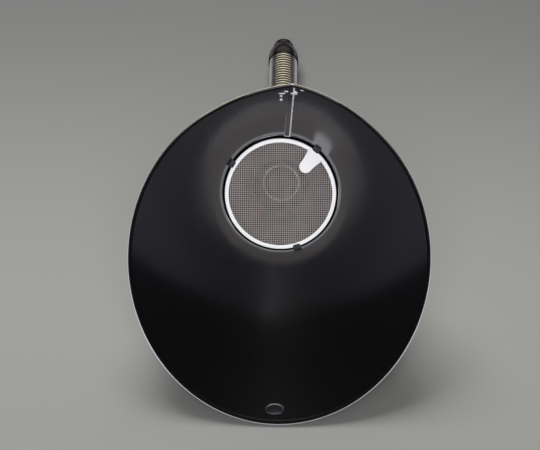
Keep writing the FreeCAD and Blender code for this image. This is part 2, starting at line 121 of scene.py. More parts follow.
def rising_plane(mouth, azimuth, corner):
    """Plane through the rim at an azimuth, its tangent there, and the rim's point."""
    angle = math.radians(azimuth)
    point = along_plane(mouth, azimuth)
    across = np.array([math.cos(angle), math.sin(angle), -RISE])
    tangent = np.cross([-mouth[0], -mouth[1], 1.0], across)
    normal = np.cross(tangent, corner - point)
    a = -normal[0] / normal[2]
    b = -normal[1] / normal[2]
    return a, b, corner[2] - a * corner[0] - b * corner[1]


SEAM_ANGLE = math.radians(SEAM)
MOUTH = (0.0, -math.tan(MOUTH_SLOPE), MOUTH_HEIGHT)
LIFT = CORNER_RISE * np.array([RISE * math.cos(SEAM_ANGLE), RISE * math.sin(SEAM_ANGLE), 1.0])
CORNER = along_plane(MOUTH, SEAM) + LIFT
RIGHT = rising_plane(MOUTH, SEAM - RIGHT_SPAN, CORNER)
LEFT = rising_plane(MOUTH, SEAM + LEFT_SPAN, CORNER)


def from_seam(azimuth):
    """Degrees from the seam, from -180 to 180."""
    return (np.asarray(azimuth) - SEAM + 180.0) % 360.0 - 180.0


def rim(azimuth):
    """Middle of the rim: the mouth plane, and beside the seam the planes that rise to its point."""
    turn = from_seam(azimuth)[..., None]
    edge = along_plane(MOUTH, azimuth)
    edge = np.where((turn >= 0.0) & (turn < LEFT_SPAN), along_plane(LEFT, azimuth), edge)
    return np.where((turn < 0.0) & (turn > -RIGHT_SPAN), along_plane(RIGHT, azimuth), edge)


def rim_slant(azimuth):
    """Length of the wall from the neck edge to the rim."""
    return rim(azimuth)[..., 2] / math.cos(WALL)


def wall(azimuth, slant, offset):
    """Point of the cone: so far up the wall from the neck edge, so far out along its normal."""
    angle = np.radians(azimuth)
    radius = MIDDLE + slant * math.sin(WALL) + offset * math.cos(WALL)
    height = slant * math.cos(WALL) - offset * math.sin(WALL)
    return np.stack([radius * np.cos(angle), radius * np.sin(angle), height + 0.0 * angle], axis=-1)


def resting_tilt():
    """Angle of the axis over the table at which the rim's lowest point and the nose both touch it."""
    low = along_plane(MOUTH, -90.0)
    across = BEND - low[1]
    along = low[2] + CUP_DEPTH + SOCKET_LENGTH + LEAD
    level = BEND + NOSE_RADIUS - WIRE
    return math.acos(level / math.hypot(across, along)) - math.atan2(along, across)


TILT = resting_tilt()
LOW = along_plane(MOUTH, -90.0)
BACK = (CUP_DEPTH + SOCKET_LENGTH + LEAD) * math.cos(TILT) + BEND * math.sin(TILT) + RUN
FRONT = LOW[1] * math.sin(TILT) - LOW[2] * math.cos(TILT) - WIRE
SHIFT = -(FRONT + BACK + NOSE_LENGTH - NOSE_GRIP) / 2.0
LIFTED = -LOW[1] * math.cos(TILT) - LOW[2] * math.sin(TILT) + WIRE


def lay(points):
    """Funnel frame to the table's, in metres: turned about X by 90 degrees less the tilt, and moved."""
    x, y, z = np.moveaxis(points, -1, 0)
    across = y * math.sin(TILT) - z * math.cos(TILT) + SHIFT
    up = y * math.cos(TILT) + z * math.sin(TILT) + LIFTED
    return np.stack([x, across, up], axis=-1) * 0.001


def quads(rows, columns, wrap_rows=True, skip=None):
    """Faces of a grid: each joins a point to the next in its row and in its column."""
    i = np.arange(rows if wrap_rows else rows - 1)
    j = np.arange(columns)
    a, b = np.meshgrid(i, j, indexing="ij")
    if skip is not None:
        keep = ~skip[a, b]
        a, b = a[keep], b[keep]
    c, d = (a + 1) % rows, (b + 1) % columns
    corners = [a * columns + b, c * columns + b, c * columns + d, a * columns + d]
    return np.stack(corners, axis=-1).reshape(-1, 4)


def make_piece(name, parts, material, stands_for=None, marks=None):
    """One object from several grids of points and faces, its doubles merged and faces turned out."""
    points, faces, start = [], [], 0
    for grid, corners in parts:
        flat = np.asarray(grid, float).reshape(-1, 3)
        points.append(flat)
        faces.append(corners + start)
        start += len(flat)
    mesh = bpy.data.meshes.new(name)
    mesh.from_pydata(np.concatenate(points).tolist(), [], np.concatenate(faces).tolist())
    if marks is not None:
        layer = mesh.attributes.new("lay", "FLOAT_VECTOR", "POINT")
        layer.data.foreach_set("vector", np.asarray(marks, np.float32).ravel())
    work = bmesh.new()
    work.from_mesh(mesh)
    bmesh.ops.remove_doubles(work, verts=work.verts, dist=2e-7)
    bmesh.ops.recalc_face_normals(work, faces=work.faces)
    work.to_mesh(mesh)
    work.free()
    mesh.polygons.foreach_set("use_smooth", np.ones(len(mesh.polygons), bool))
    mesh.set_sharp_from_angle(angle=math.radians(38.0))
    mesh.materials.append(material)
    piece = bpy.data.objects.new(name, mesh)
    bpy.context.scene.collection.objects.link(piece)
    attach(piece, "root")
    if stands_for:
        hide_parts(stands_for)
    return piece


def eased(corners, radii, steps=5):
    """Closed profile with each corner c cut by the curve (1-t)^2 a + 2t(1-t) c + t^2 b."""
    c = np.asarray(corners, float)
    to_last = np.roll(c, 1, axis=0) - c
    to_next = np.roll(c, -1, axis=0) - c
    last_length = np.linalg.norm(to_last, axis=1, keepdims=True)
    next_length = np.linalg.norm(to_next, axis=1, keepdims=True)
    cut = np.broadcast_to(np.asarray(radii, float).reshape(-1, 1), (len(c), 1))
    cut = np.minimum(cut, 0.45 * np.minimum(last_length, next_length))
    a = c + to_last / last_length * cut
    b = c + to_next / next_length * cut
    t = np.linspace(0.0, 1.0, steps).reshape(1, -1, 1)
    curve = (1 - t) ** 2 * a[:, None] + 2 * t * (1 - t) * c[:, None] + t ** 2 * b[:, None]
    return curve.reshape(-1, 2)


def turned(profile, count):
    """A profile of radius and height carried round the Z axis: r cos, r sin, z."""
    angle = np.linspace(0.0, 2.0 * np.pi, count, endpoint=False)
    radius = profile[:, :1]
    height = np.broadcast_to(profile[:, 1:], (len(profile), count))
    return np.stack([radius * np.cos(angle), radius * np.sin(angle), height], axis=-1)


def turned_part(corners, radii, count):
    """Points in place and faces of a profile turned about the axis, its corners eased."""
    profile = eased(corners, radii)
    return lay(turned(profile, count)), quads(len(profile), count)


def closed_tube(path, radius, sides):
    """Round tube on a closed path: path + radius (cos n + sin b), with n square to the path and to Z."""
    ahead = np.roll(path, -1, axis=0) - np.roll(path, 1, axis=0)
    ahead /= np.linalg.norm(ahead, axis=1, keepdims=True)
    side = np.cross(ahead, [0.0, 0.0, 1.0])
    side /= np.linalg.norm(side, axis=1, keepdims=True)
    top = np.cross(side, ahead)
    angle = np.linspace(0.0, 2.0 * np.pi, sides, endpoint=False).reshape(1, -1, 1)
    wide = np.broadcast_to(np.asarray(radius, float).reshape(-1, 1, 1), (len(path), 1, 1))
    grid = path[:, None] + wide * (np.cos(angle) * side[:, None] + np.sin(angle) * top[:, None])
    return lay(grid), quads(len(path), sides)


def marks_of(unshaded):
    """Marks of a grid's points: the third value is 1 where the surface keeps its own tone, 0 where painted
    shade is laid on it.
    """
    unshaded = np.asarray(unshaded, float).ravel()
    return np.stack([0.0 * unshaded, 0.0 * unshaded, unshaded], axis=-1)


# Finishes


def node(tree, kind, **values):
    """New node with its inputs or properties set by name."""
    made = tree.nodes.new(kind)
    for key, value in values.items():
        if key in made.inputs:
            made.inputs[key].default_value = value
        else:
            setattr(made, key, value)
    return made


def blotch_group():
    """Noise at two scales and fine streaks, as masks for tone, roughness and height."""
    tree = bpy.data.node_groups.new("Blotches", "ShaderNodeTree")
    tree.interface.new_socket("Vector", in_out="INPUT", socket_type="NodeSocketVector")
    tree.interface.new_socket("Large", in_out="INPUT", socket_type="NodeSocketFloat")
    tree.interface.new_socket("Fine", in_out="INPUT", socket_type="NodeSocketFloat")
    for name in ("Tone", "Grain", "Streak"):
        tree.interface.new_socket(name, in_out="OUTPUT", socket_type="NodeSocketFloat")
    start = node(tree, "NodeGroupInput")
    end = node(tree, "NodeGroupOutput")
    large = node(tree, "ShaderNodeTexNoise", Detail=3.0, Roughness=0.55)
    fine = node(tree, "ShaderNodeTexNoise", Detail=4.0, Roughness=0.6)
    stretch = node(tree, "ShaderNodeMapping")
    stretch.inputs["Scale"].default_value = (0.6, 26.0, 26.0)
    stretch.inputs["Rotation"].default_value = (0.0, 0.0, 0.5)
    thin = node(tree, "ShaderNodeTexNoise", Detail=2.0, Distortion=0.4)
    cut = node(tree, "ShaderNodeMapRange")
    cut.inputs["From Min"].default_value = 0.66
    cut.inputs["From Max"].default_value = 0.74
    link = tree.links.new
    link(start.outputs["Vector"], large.inputs["Vector"])
    link(start.outputs["Vector"], fine.inputs["Vector"])
    link(start.outputs["Vector"], stretch.inputs["Vector"])
    link(stretch.outputs["Vector"], thin.inputs["Vector"])
    link(start.outputs["Large"], large.inputs["Scale"])
    link(start.outputs["Large"], thin.inputs["Scale"])
    link(start.outputs["Fine"], fine.inputs["Scale"])
    link(thin.outputs["Fac"], cut.inputs["Value"])
    link(large.outputs["Fac"], end.inputs["Tone"])
    link(fine.outputs["Fac"], end.inputs["Grain"])
    link(cut.outputs["Result"], end.inputs["Streak"])
    return tree


BLOTCHES = blotch_group()


def finish_of(name, dark, light, rough, metallic, large, fine, bump=0.0, streak=0.0, **sockets):
    """Finish with two tones in blotches, a span of roughness, fine relief and faint streaks.

    The scales of the large and the fine noise are per metre; further names are the shader's own values.
    """
    material = bpy.data.materials.new(name)
    material.use_nodes = True
    tree = material.node_tree
    link = tree.links.new
    shader = tree.nodes["Principled BSDF"]
    shader.inputs["Metallic"].default_value = metallic
    for key, value in sockets.items():
        shader.inputs[key.replace("_", " ")].default_value = value
    place = node(tree, "ShaderNodeTexCoord")
    marks = node(tree, "ShaderNodeGroup", node_tree=BLOTCHES)
    marks.inputs["Large"].default_value = large
    marks.inputs["Fine"].default_value = fine
    link(place.outputs["Object"], marks.inputs["Vector"])
    tone = node(tree, "ShaderNodeMix", data_type="RGBA")
    tone.inputs[6].default_value = (*dark, 1.0)
    tone.inputs[7].default_value = (*light, 1.0)
    link(marks.outputs["Tone"], tone.inputs[0])
    worn = node(tree, "ShaderNodeMix", data_type="RGBA")
    worn.inputs[7].default_value = (*[min(1.0, v * 1.6 + 0.02) for v in light], 1.0)
    scratch = node(tree, "ShaderNodeMath", operation="MULTIPLY")
    scratch.inputs[1].default_value = streak
    link(marks.outputs["Streak"], scratch.inputs[0])
    link(scratch.outputs[0], worn.inputs[0])
    link(tone.outputs[2], worn.inputs[6])
    link(worn.outputs[2], shader.inputs["Base Color"])
    span = node(tree, "ShaderNodeMapRange")
    span.inputs["To Min"].default_value = rough[0]
    span.inputs["To Max"].default_value = rough[1]
    link(marks.outputs["Grain"], span.inputs["Value"])
    link(span.outputs["Result"], shader.inputs["Roughness"])
    if bump:
        relief = node(tree, "ShaderNodeBump")
        relief.inputs["Strength"].default_value = bump
        relief.inputs["Distance"].default_value = 0.0002
        link(marks.outputs["Grain"], relief.inputs["Height"])
        link(relief.outputs["Normal"], shader.inputs["Normal"])
    return material


def add_painted_shade(material, shade_colour):
    """Lays painted shade, a dark tone with more roughness, where the mesh's mark has a low third value:
    grooves, seats, insides.
    """
    tree = material.node_tree
    link = tree.links.new
    shader = tree.nodes["Principled BSDF"]
    place = node(tree, "ShaderNodeAttribute", attribute_name="lay")
    split = node(tree, "ShaderNodeSeparateXYZ")
    link(place.outputs["Vector"], split.inputs["Vector"])
    for socket, tone in (("Base Color", (*shade_colour, 1.0)), ("Roughness", 0.6)):
        colour = socket == "Base Color"
        mix = node(tree, "ShaderNodeMix", data_type="RGBA" if colour else "FLOAT")
        first, second = (6, 7) if colour else (2, 3)
        mix.inputs[first].default_value = tone
        link(split.outputs["Z"], mix.inputs[0])
        link(shader.inputs[socket].links[0].from_socket, mix.inputs[second])
        link(mix.outputs[2 if colour else 0], shader.inputs[socket])
    return material


BLACK_NICKEL = ((0.255, 0.257, 0.272), (0.305, 0.307, 0.325), (0.10, 0.16), 1.0, 18.0, 260.0, 0.02, 0.15)
SEAT_NICKEL = ((0.26, 0.264, 0.29), (0.31, 0.315, 0.345), (0.12, 0.20), 1.0, 18.0, 260.0, 0.02)
RIM_TIN = ((0.74, 0.73, 0.72), (0.86, 0.85, 0.84), (0.06, 0.14), 1.0, 90.0, 900.0, 0.12, 0.3)
HOLE_TIN = ((0.66, 0.65, 0.63), (0.80, 0.79, 0.77), (0.06, 0.14), 1.0, 90.0, 900.0, 0.12, 0.3)
BRIGHT_SOLDER = ((0.80, 0.80, 0.83), (0.93, 0.93, 0.95), (0.20, 0.38), 0.35, 260.0, 900.0, 0.6)
LACQUER = ((0.0045, 0.0035, 0.004), (0.008, 0.006, 0.007), (0.10, 0.20), 0.0, 60.0, 500.0, 0.05, 0.05)
WHITE_PLASTIC = ((0.86, 0.86, 0.87), (0.90, 0.90, 0.905), (0.28, 0.40), 0.0, 45.0, 500.0, 0.08, 0.05)
DRAWN_WIRE = ((0.44, 0.40, 0.385), (0.74, 0.67, 0.64), (0.26, 0.40), 0.4, 60.0, 700.0, 0.2)
PLATED_RIBS = ((0.74, 0.70, 0.62), (0.86, 0.82, 0.73), (0.08, 0.18), 1.0, 60.0, 700.0, 0.05, 0.2)
NICKEL_TUBE = ((0.60, 0.60, 0.62), (0.70, 0.70, 0.715), (0.07, 0.15), 1.0, 70.0, 600.0, 0.03, 0.3)

NICKEL = finish_of("black_nickel", *BLACK_NICKEL)
TINNED = finish_of("tinned_wire", *HOLE_TIN)
SOLDER = finish_of("solder", *BRIGHT_SOLDER)
NOSE_BLACK = finish_of("black_lacquer", *LACQUER, Specular_IOR_Level=0.04)
WIRES = finish_of("woven_wire", *DRAWN_WIRE)
# The second colour in each of these six materials is painted shade, laid where a piece's marks are low: the
# spout's grooves, the ring's inner foot, the bowl's neck and hanging hole, the rim wire's top and inner side,
# the cup's seat and the socket's bore.
RIBBED = add_painted_shade(finish_of("plated_ribs", *PLATED_RIBS), (0.020, 0.015, 0.011))
RING = add_painted_shade(finish_of("white_ring", *WHITE_PLASTIC), (0.16, 0.145, 0.135))
BOWL = add_painted_shade(finish_of("black_nickel_bowl", *BLACK_NICKEL), (0.012, 0.011, 0.011))
RIM = add_painted_shade(finish_of("tinned_rim", *RIM_TIN), (0.030, 0.028, 0.028))
SEAT = add_painted_shade(finish_of("black_nickel_seat", *SEAT_NICKEL), (0.012, 0.011, 0.010))
SLEEVE = add_painted_shade(finish_of("nickel_sleeve", *NICKEL_TUBE), (0.02, 0.018, 0.016))


# Bowl


def build_bowl():
    """Wall as rows down the inside, round the neck edge and up the outside, with the hole let in.

    Round the hole a square block of faces is left out of both sides. Rings of points that run from
    the block's edge to the hole's oval, p = (1-w) oval + w block, fill it.
    """
    far = HOLE_AZIMUTH + 360.0
    steps = (236, 244)
    columns = np.concatenate([
        np.linspace(HOLE_AZIMUTH, SEAM, steps[0], endpoint=False),
        np.linspace(SEAM, far, steps[1], endpoint=False),
    ])
    count = len(columns)
    top = rim_slant(columns)
    hole_top = float(rim_slant(HOLE_AZIMUTH))
    centre = hole_top - HOLE_INSET
    block, cell = 6, 1.1
    share = (centre + cell * np.arange(-block, block + 1)) / hole_top
    levels = np.concatenate([[0.0, 0.12, 0.3, 0.5, 0.7, 0.82], share, [0.985, 1.0]])
    low_row = 6
    half = SHEET / 2.0
    lip = np.linspace(0.0, np.pi, 7)[1:-1]
    slants = np.concatenate([
        levels[::-1, None] * top,
        np.broadcast_to(-half * np.sin(lip)[:, None], (len(lip), count)),
        levels[:, None] * top,
    ])
    offsets = np.concatenate([np.full(len(levels), -half), -half * np.cos(lip), np.full(len(levels), half)])
    azimuths = np.broadcast_to(columns, slants.shape)
    grid = wall(azimuths, slants, offsets[:, None])
    rows = len(slants)
    skip = np.zeros((rows, count), bool)
    around = np.arange(-block, block) % count
    inner_low = len(levels) - 1 - (low_row + 2 * block)
    outer_low = len(levels) + len(lip) + low_row
    skip[np.ix_(np.arange(inner_low, inner_low + 2 * block), around)] = True
    skip[np.ix_(np.arange(outer_low, outer_low + 2 * block), around)] = True
    parts = [(lay(grid), quads(rows, count, skip=skip))]
    # Painted shade on the wall, inside and outside: darker towards the neck edge, and full on the rows under
    # the rim wire.
    wall_unshaded = np.clip(NECK_UNSHADED + 0.9 * (slants / top - 0.35), NECK_UNSHADED, 1.0)
    marks = [marks_of(wall_unshaded * (slants < 0.99 * top))]

    span = np.arange(-block, block)
    edge = np.full(2 * block, block)
    across = np.concatenate([span, edge, -span, -edge])
    up = np.concatenate([-edge, span, edge, -span])
    loop_azimuth = columns[across % count]
    loop_azimuth = np.where(loop_azimuth > HOLE_AZIMUTH + 180.0, loop_azimuth - 360.0, loop_azimuth)
    loop_slant = (centre + cell * up) / hole_top * rim_slant(loop_azimuth)
    reach = MIDDLE + centre * math.sin(WALL)
    u = np.radians(loop_azimuth - HOLE_AZIMUTH) * reach
    v = loop_slant - centre
    far_out = np.hypot(u / HOLE_WIDE, v / HOLE_HIGH)
    ring = np.linspace(0.0, 1.0, 6)[:, None]
    ring_u = (1 - ring) * u / far_out + ring * u
    ring_v = (1 - ring) * v / far_out + ring * v
    ring_azimuth = HOLE_AZIMUTH + np.degrees(ring_u / reach)
    ring_slant = centre + ring_v
    ring_azimuth[-1] = loop_azimuth
    ring_slant[-1] = loop_slant
    for side in (-half, half):
        patch = wall(ring_azimuth, ring_slant, side)
        parts.append((lay(patch), quads(*ring_azimuth.shape, wrap_rows=False)))
        marks.append(marks_of(np.ones(ring_slant.shape)))
    both = np.array([[-half], [half]])
    pair = wall(np.stack([ring_azimuth[0]] * 2), np.stack([ring_slant[0]] * 2), both)
    parts.append((lay(pair), quads(2, len(loop_azimuth), wrap_rows=False)))
    # Painted shade over the whole side of the hanging hole.
    marks.append(marks_of(np.zeros(2 * len(loop_azimuth))))
    make_piece("bowl_wall", parts, BOWL, "funnel_bowl", np.concatenate(marks))
    return columns, centre


def strip_on_wall(width, low, high, inside, outside, shift, wobble=None):
    """Flat band up the wall where the lap runs: across it w + shift + wobble(s), along it s.

    It is a closed box with eased edges, so far in and so far out from the wall's middle.
    """
    corners = [(-width / 2, inside), (width / 2, inside), (width / 2, outside), (-width / 2, outside)]
    profile = eased(corners, 0.22, 4)
    slant = np.linspace(low, high, 60 if wobble is None else 200).reshape(-1, 1)
    radius = MIDDLE + slant * math.sin(WALL)
    aside = shift if wobble is None else shift + wobble(slant)
    place = LAP_AZIMUTH + np.degrees((profile[:, 0] + aside) / radius)
    grid = wall(place, np.broadcast_to(slant, place.shape), profile[:, 1] + 0.0 * place)
    ends = [np.broadcast_to(grid[k].mean(axis=0), grid[k].shape)[None] for k in (0, -1)]
    whole = np.concatenate([ends[0], grid, ends[1]])
    return lay(whole), quads(len(whole), len(profile), wrap_rows=False)


def blob(azimuth, slant, along, across, high, side=-1.0):
    """Drop of solder on the wall: a dome whose outline wavers, height h (1 - r^2)."""
    angle = np.linspace(0.0, 2.0 * np.pi, 28, endpoint=False)
    r = np.linspace(0.0, 1.0, 7).reshape(-1, 1)
    waver = 1.0 + 0.13 * np.sin(3.0 * angle + azimuth) + 0.07 * np.sin(5.0 * angle + slant)
    u = across * r * waver * np.cos(angle)
    v = along * r * waver * np.sin(angle)
    radius = MIDDLE + slant * math.sin(WALL)
    dome = side * (SHEET / 2.0 + high * (1.0 - r ** 2) + 0.0 * angle)
    under = side * (SHEET / 2.0 - 0.1) + 0.0 * dome[:1]
    u = np.concatenate([u, 0.0 * u[:1]])
    v = np.concatenate([v, 0.0 * v[:1]])
    grid = wall(azimuth + np.degrees(u / radius), slant + v, np.concatenate([dome, under]))
    return lay(grid), quads(*u.shape, wrap_rows=False)


def slab(outline, low, high, ease, place):
    """Flat piece from a closed outline: rings set in by e (1 - sin t) at the edges, then capped."""
    ahead = np.roll(outline, -1, axis=0) - np.roll(outline, 1, axis=0)
    ahead /= np.linalg.norm(ahead, axis=1, keepdims=True)
    out = np.stack([ahead[:, 1], -ahead[:, 0]], axis=-1)
    t = np.linspace(0.0, np.pi / 2.0, 5)
    inset = np.concatenate([ease * (1.0 - np.sin(t)), ease * (1.0 - np.cos(t))])
    height = np.concatenate([low + ease * (1.0 - np.cos(t)), high - ease * (1.0 - np.sin(t))])
    ring = outline[None] - inset[:, None, None] * out[None]
    grid = np.concatenate([ring, np.broadcast_to(height[:, None, None], ring.shape[:2] + (1,))], axis=-1)
    caps = [np.broadcast_to(grid[k].mean(axis=0), grid[k].shape)[None] for k in (0, -1)]
    whole = np.concatenate([caps[0], grid, caps[1]])
    return lay(place(whole)), quads(len(whole), len(outline), wrap_rows=False)


def swung(azimuth, move):
    """Turns points about Z by an azimuth and moves them."""
    angle = math.radians(azimuth)
    turn = np.array([[math.cos(angle), math.sin(angle), 0.0], [-math.sin(angle), math.cos(angle), 0.0],
                     [0.0, 0.0, 1.0]])
    return lambda points: points @ turn + np.array(move)


def build_bowl_trim(columns, hole_slant):
    """Lap and solder of the seam, tongues and edge of the neck, edge of the hole, wire of the rim."""
    top = float(rim_slant(SEAM))
    half = SHEET / 2.0
    right_edge = LAP_SHIFT - LAP_SEEN / 2.0
    left_edge = LAP_SHIFT + LAP_SEEN / 2.0
    lap = strip_on_wall(LAP_SEEN, 0.2, top - 0.6, 0.1 - half, -half - SHEET, LAP_SHIFT)
    make_piece("seam_lap", [lap], NICKEL)
    wave = lambda s: 0.10 * np.sin(0.9 * s) + 0.07 * np.sin(2.3 * s + 1.0)
    faint = lambda s: 0.6 * wave(s + 5.0)
    right = strip_on_wall(1.15, 0.3, top - 0.8, 0.1 - half, -half - 0.60, right_edge, wave)
    left = strip_on_wall(0.26, 0.3, 0.45 * top, 0.1 - half, -half - 0.14, left_edge, faint)
    outer = strip_on_wall(0.6, 5.0, top - 0.8, half - 0.1, half + 0.22, left_edge, wave)
    drops = [
        blob(SEAM + 5.4, top - 10.6, 1.0, 0.8, 0.5),
        blob(SEAM + 5.4, top - 14.2, 1.3, 0.9, 0.6),
        blob(SEAM + 5.0, top - 8.1, 0.6, 2.0, 0.35),
        blob(SEAM - 0.9, top - 6.6, 1.7, 2.7, 0.9),
        blob(SEAM + 2.6, top - 6.0, 0.6, 1.6, 0.4),
        blob(SEAM - 0.7, top - 3.4, 2.6, 0.7, 0.6),
        blob(SEAM - 5.0, top - 2.9, 0.8, 1.0, 0.45),
        blob(SEAM, top - 2.0, 1.6, 2.6, 0.6, 1.0),
    ]
    make_piece("seam_solder", [right, left, outer] + drops, SOLDER)

    tongues = []
    inner = NECK - TANG_REACH
    width = TANG_WIDTH / 2.0
    for azimuth in TANGS:
        corners = [(inner, -width), (NECK + 0.6, -width), (NECK + 0.6, width), (inner, width)]
        outline = eased(corners, [1.1, 0.2, 0.2, 1.1], 9)
        tongues.append(slab(outline, 0.32, 0.9, 0.2, swung(azimuth, (0.0, 0.0, 0.0))))
    make_piece("neck_tangs", tongues, NICKEL)

    around = np.linspace(0.0, 360.0, 360, endpoint=False)
    beside = np.radians(around - LAP_AZIMUTH) * NECK - LAP_SHIFT
    step = np.clip((LAP_SEEN / 2.0 + 0.3 - np.abs(beside)) / 0.4, 0.0, 1.0)
    radius = MIDDLE - 0.62 * step
    angle = np.radians(around)
    path = np.stack([radius * np.cos(angle), radius * np.sin(angle), 0.05 + 0.0 * angle], axis=-1)
    thick = 0.2 + 0.08 * np.sin(3.0 * angle + 2.2) + 0.06 * np.cos(7.0 * angle)
    make_piece("neck_edge", [closed_tube(path, thick, 12)], SOLDER)

    reach = MIDDLE + hole_slant * math.sin(WALL)
    turn = np.linspace(0.0, 2.0 * np.pi, 72, endpoint=False).reshape(1, -1)
    section = np.linspace(0.0, 2.0 * np.pi, 12, endpoint=False).reshape(-1, 1)
    wider = 0.12 + 0.22 * np.cos(section)
    ring = wall(HOLE_AZIMUTH + np.degrees((HOLE_WIDE + wider) * np.cos(turn) / reach),
                hole_slant + (HOLE_HIGH + wider) * np.sin(turn), (half + 0.1) * np.sin(section) + 0.0 * turn)
    make_piece("hole_edge", [(lay(ring), quads(12, 72))], TINNED)

    # Painted shade on the rim wire's top and inner side, from the limit's angle round to 200 degrees of its
    # section, so that the wire reads as a thin bright line.
    turn = 15.0 * np.arange(24)
    limit = np.where(np.abs(columns - SEAM) < 24.0, 77.0, 62.0)[:, None]
    bead = closed_tube(rim(columns), WIRE - 0.04, len(turn))
    make_piece("rim_bead", [bead], RIM, "rim_wire", marks_of((turn < limit) | (turn > 200.0)))


# Strainer


def bent_up(points):
    """Turns points about the tab's root by its slope: x cos + z sin + root, z cos - x sin."""
    x, y, z = np.moveaxis(points, -1, 0)
    along = x * math.cos(TAB_SLOPE) + z * math.sin(TAB_SLOPE) + TAB_HINGE
    return np.stack([along, y, z * math.cos(TAB_SLOPE) - x * math.sin(TAB_SLOPE)], axis=-1)


def build_strainer():
    """Turned ring with painted shade on its inner foot, and the finger tab bent up from it."""
    move = (0.0, STRAINER_SHIFT, 0.0)
    inner = RING_OUTER - RING_WIDTH
    low = -RING_HEIGHT
    corners = [(inner, low), (RING_OUTER, low), (RING_OUTER, 0.0), (inner, 0.0), (inner, -0.7)]
    profile = eased(corners, [0.3, 0.3, 0.7, 0.6, 0.1])
    ring = lay(turned(profile, 160) + np.array(move)), quads(len(profile), 160)
    # Painted shade on the ring's inner wall below its top edge and on its inner foot.
    shaded_foot = (profile[:, 0] < inner + 0.2) & (profile[:, 1] < -0.65)
    reach = (TAB_CENTRE - TAB_HINGE) / math.cos(TAB_SLOPE)
    t = np.linspace(-np.pi / 2.0, np.pi / 2.0, 25)
    nose = np.stack([reach - TAB_HALF * np.cos(t), -TAB_HALF * np.sin(t)], axis=-1)
    run = np.linspace(0.0, 1.0, 12)[1:]
    bottom = np.stack([reach * (1.0 - run), -TAB_HALF - 1.8 * run ** 1.6], axis=-1)
    top = bottom[::-1] * [1.0, -1.0]
    outline = np.concatenate([nose, bottom, top])
    swing = swung(TAB_AZIMUTH, move)
    tab = slab(outline, -1.3, -0.02, 0.35, lambda points: swing(bent_up(points)))
    marks = np.concatenate([marks_of(np.repeat(~shaded_foot, 160)), marks_of(np.ones(tab[0][..., 0].size))])
    make_piece("strainer_frame", [ring, tab], RING, "strainer_ring", marks)


def build_mesh():
    """Plain weave: each wire runs straight and rises and dips as a cos(pi x / pitch) over the others.

    The wire is a four-sided tube, and the two ways of wires are shifted by half a wave.
    """
    count = int(MESH_RADIUS / MESH_PITCH)
    number = np.arange(-count, count + 1)
    place = number * MESH_PITCH
    half = np.sqrt(MESH_RADIUS ** 2 - place ** 2)
    steps = 190
    t = np.linspace(-1.0, 1.0, steps)
    along = half[:, None] * t
    wave = MESH_WIRE * np.cos(np.pi * along / MESH_PITCH) * np.where(number % 2, -1.0, 1.0)[:, None]
    across = np.broadcast_to(place[:, None], along.shape)
    section = np.array([[1.0, 0.0], [0.0, 1.0], [-1.0, 0.0], [0.0, -1.0]]) * MESH_WIRE
    warp = np.stack([
        np.broadcast_to(along[..., None], along.shape + (4,)),
        across[..., None] + section[:, 0],
        wave[..., None] + section[:, 1],
    ], axis=-1)
    weft = np.stack([
        across[..., None] + section[:, 0],
        np.broadcast_to(along[..., None], along.shape + (4,)),
        -wave[..., None] + section[:, 1],
    ], axis=-1)
    wires = np.concatenate([warp, weft]).reshape(-1, 4, 3)
    total = len(number) * 2
    strand = quads(steps, 4, wrap_rows=False)
    caps = np.array([[0, 1, 2, 3], [4 * steps - 1, 4 * steps - 2, 4 * steps - 3, 4 * steps - 4]])
    strand = np.concatenate([strand, caps])
    faces = strand[None] + (np.arange(total) * steps * 4)[:, None, None]
    wires = wires + np.array([0.0, STRAINER_SHIFT, -MESH_DROP])
    make_piece("strainer_weave", [(lay(wires), faces.reshape(-1, 4))], WIRES, "strainer_mesh")


# Cup, socket, spout and nose


def build_cup():
    """Cup turned about the axis: flange on the bowl, ledge under the ring, cone and collar."""
    outside = NECK + SHEET / math.cos(WALL)
    flare = FLANGE_HEIGHT * RISE
    thick = SHEET / math.cos(WALL)
    low = -CUP_DEPTH - CUP_COLLAR
    corners = [
        (outside, 0.0), (outside + flare, FLANGE_HEIGHT), (outside + flare + thick, FLANGE_HEIGHT),
        (outside + thick, 0.0), (outside + thick, -3.6), (LEDGE_INNER, -4.2),
        (SOCKET_OUTER + SHEET, -CUP_DEPTH), (SOCKET_OUTER + SHEET, low), (SOCKET_OUTER, low),
        (SOCKET_OUTER, -CUP_DEPTH + SHEET),
        (LEDGE_INNER, -RING_HEIGHT), (outside, -RING_HEIGHT),
    ]
    radii = [0.1, 0.2, 0.2, 0.5, 1.2, 1.0, 1.6, 0.2, 0.2, 0.8, 0.6, 0.2]
    grid, faces = turned_part(corners, radii, 144)
    profile = eased(corners, radii)
    # Painted shade in the seat under the ring: the ledge and the cup's wall above it.
    seat = (profile[:, 1] > -4.0) & (profile[:, 1] < 0.5) & (profile[:, 0] < outside + 0.1)
    make_piece("cup_wall", [(grid, faces)], SEAT, "seat_cup",
               marks_of(np.repeat(~seat, 144)))
    lip = outside + flare + thick
    bead = np.array([(-0.75, 0.0), (-0.05, -0.05), (0.62, 0.92), (0.1, 0.75)]) + [lip, FLANGE_HEIGHT]
    foot = np.array([(0.02, -0.5), (0.6, 0.0), (0.5, 0.2), (0.02, 0.2)]) + [SOCKET_OUTER, low]
    make_piece("cup_solder", [turned_part(bead, 0.2, 144), turned_part(foot, 0.1, 96)], SOLDER)


def build_lip():
    """Uneven bright line of solder where the socket meets the cup's floor."""
    angle = np.linspace(0.0, 2.0 * np.pi, 160, endpoint=False)
    radius = SOCKET_INNER + 0.75
    path = np.stack([radius * np.cos(angle), radius * np.sin(angle), 0.35 - CUP_DEPTH + 0.0 * angle], axis=-1)
    thick = np.clip(0.20 + 0.16 * np.cos(angle - 0.2) + 0.22 * np.sin(3.0 * angle + 0.8), 0.05, 0.5)
    make_piece("outlet_solder", [closed_tube(path, thick, 10)], SOLDER)


